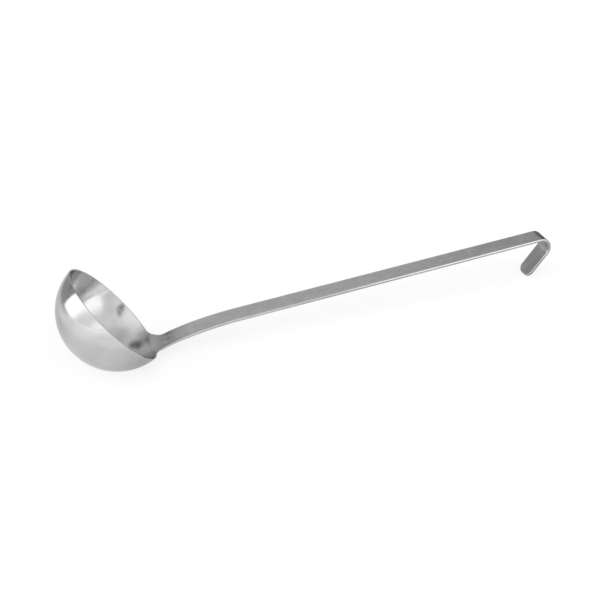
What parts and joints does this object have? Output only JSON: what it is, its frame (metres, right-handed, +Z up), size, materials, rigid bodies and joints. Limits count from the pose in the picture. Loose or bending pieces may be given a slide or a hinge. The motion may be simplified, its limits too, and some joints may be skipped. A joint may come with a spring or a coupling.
{
  "type": "soup ladle",
  "caption": "Stainless steel soup ladle: deep round bowl with a drawn neck, long flat strap handle and a hook bent under its end, lying on a table on its bowl and hook.",
  "frame": {"origin": "on the table, under the middle of the ladle's overall box, as it lies on its bowl and the tip of its hook", "axes": "+X along the handle from the bowl to the hook, +Y across the strap, +Z up from the table"},
  "size_m": [0.4578, 0.1, 0.0863],
  "materials": {
    "bowl": "satin polished, fine turned lines round the bowl",
    "neck_weld": "ground flush across the neck",
    "handle": "tumbled, fine brushed mottle along the strap, softened edges"
  },
  "bodies": {
    "root": {"bowl": "bowl", "neck_weld": "neck_weld", "handle": "handle"}
  },
  "joints": []
}
